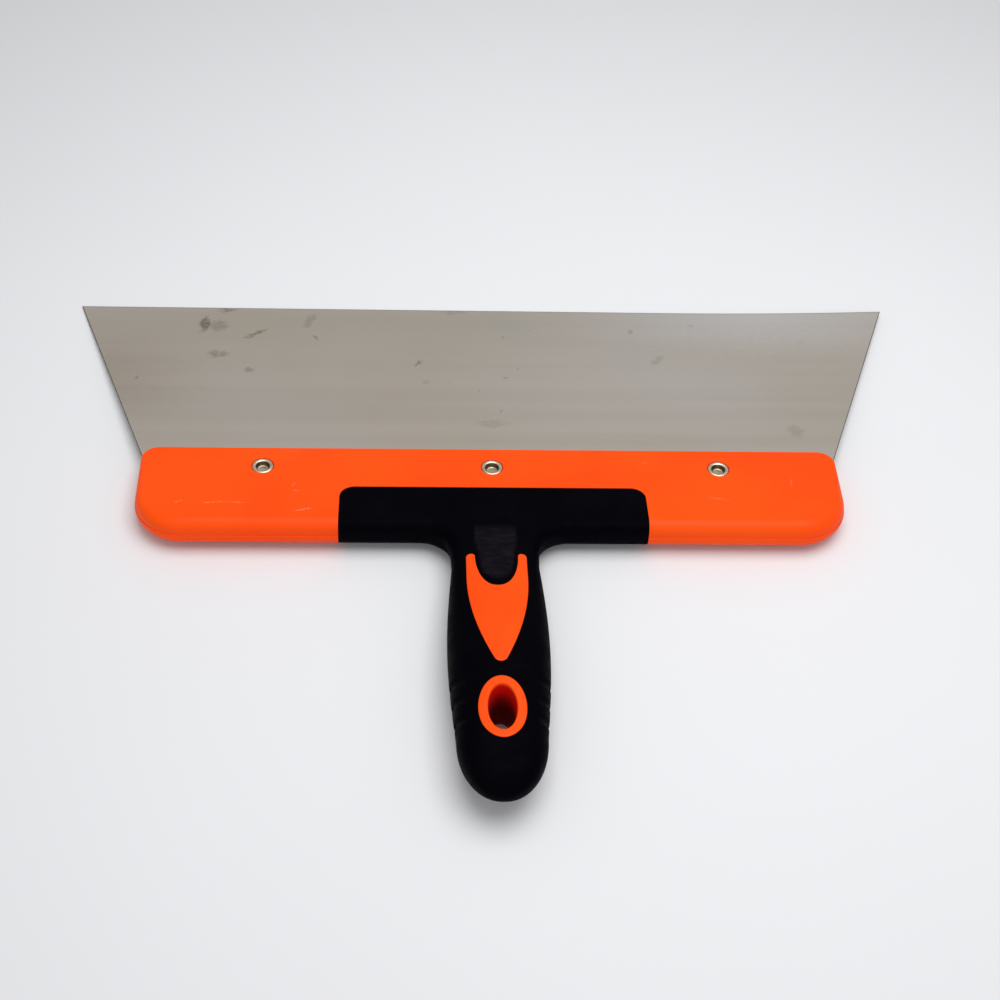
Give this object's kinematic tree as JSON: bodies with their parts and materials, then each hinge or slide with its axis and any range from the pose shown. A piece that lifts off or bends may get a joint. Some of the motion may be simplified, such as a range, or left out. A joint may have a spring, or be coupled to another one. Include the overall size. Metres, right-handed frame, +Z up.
{
  "type": "flexible putty knife",
  "caption": "Wide flexible putty knife: trapezoid steel blade riveted into an orange plastic bar, black soft-grip T handle with oval hang hole.",
  "frame": {"origin": "under the middle of the bounding box, on the table that the tool lies on", "axes": "+X along the working edge to the tool's right seen from the handle, +Y from the handle to the working edge, +Z up; the blade dips 3.56 degrees to the table at its working edge"},
  "size_m": [0.35, 0.261, 0.025],
  "materials": {
    "blade_steel": "satin stainless sheet with a fine grain along its length and a few dull handling stains",
    "orange_plastic": "semi-gloss moulded polypropylene",
    "black_rubber": "matte soft-touch thermoplastic rubber",
    "rivet_metal": "nickel-plated steel, rolled rim"
  },
  "bodies": {
    "root": {"blade": "blade_steel", "handle_core": "orange_plastic", "grip": "black_rubber", "rivet_left": "rivet_metal", "rivet_centre": "rivet_metal", "rivet_right": "rivet_metal"}
  },
  "joints": []
}
